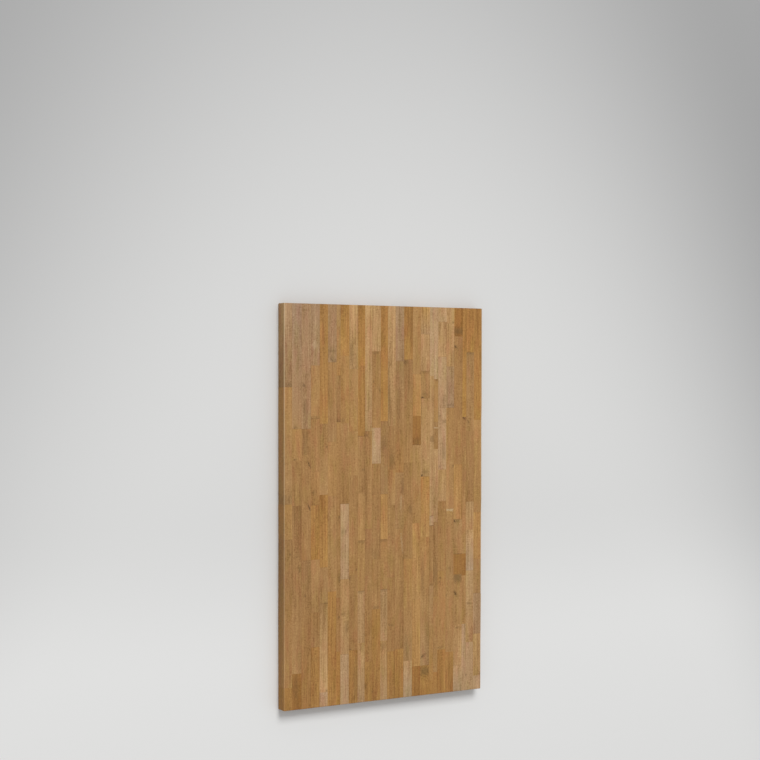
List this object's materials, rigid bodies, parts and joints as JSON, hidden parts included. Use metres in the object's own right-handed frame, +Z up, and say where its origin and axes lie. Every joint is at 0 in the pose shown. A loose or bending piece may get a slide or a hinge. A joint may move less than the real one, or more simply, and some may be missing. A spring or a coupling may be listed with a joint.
{
  "type": "butcher block countertop",
  "caption": "Flat rectangular countertop panel of narrow solid wood staves, joined end to end into rows and glued edge to edge, with slightly eased edges.",
  "frame": {"origin": "centre of the underside", "axes": "+X across the rows of staves, +Y along them towards the head end, +Z up out of the show face"},
  "size_m": [0.711, 1.219, 0.038],
  "materials": {
    "wood_honey": "oiled satin, honey brown",
    "wood_golden": "oiled satin, golden brown",
    "wood_brown": "oiled satin, mid brown",
    "wood_pale": "oiled satin, pale tan"
  },
  "bodies": {
    "root": {"row_01": "wood_honey", "row_02": "wood_honey", "row_03": "wood_brown", "row_04": "wood_honey", "row_05": "wood_golden", "row_06": "wood_honey", "row_07": "wood_brown", "row_08": "wood_pale", "row_09": "wood_honey", "row_10": "wood_golden", "row_11": "wood_brown", "row_12": "wood_honey", "row_13": "wood_golden", "row_14": "wood_honey", "row_15": "wood_brown", "row_16": "wood_golden", "row_17": "wood_honey", "row_18": "wood_honey", "row_19": "wood_pale", "row_20": "wood_honey", "row_21": "wood_pale", "row_22": "wood_honey", "row_23": "wood_golden", "row_24": "wood_honey", "row_25": "wood_pale", "row_26": "wood_honey"}
  },
  "joints": []
}
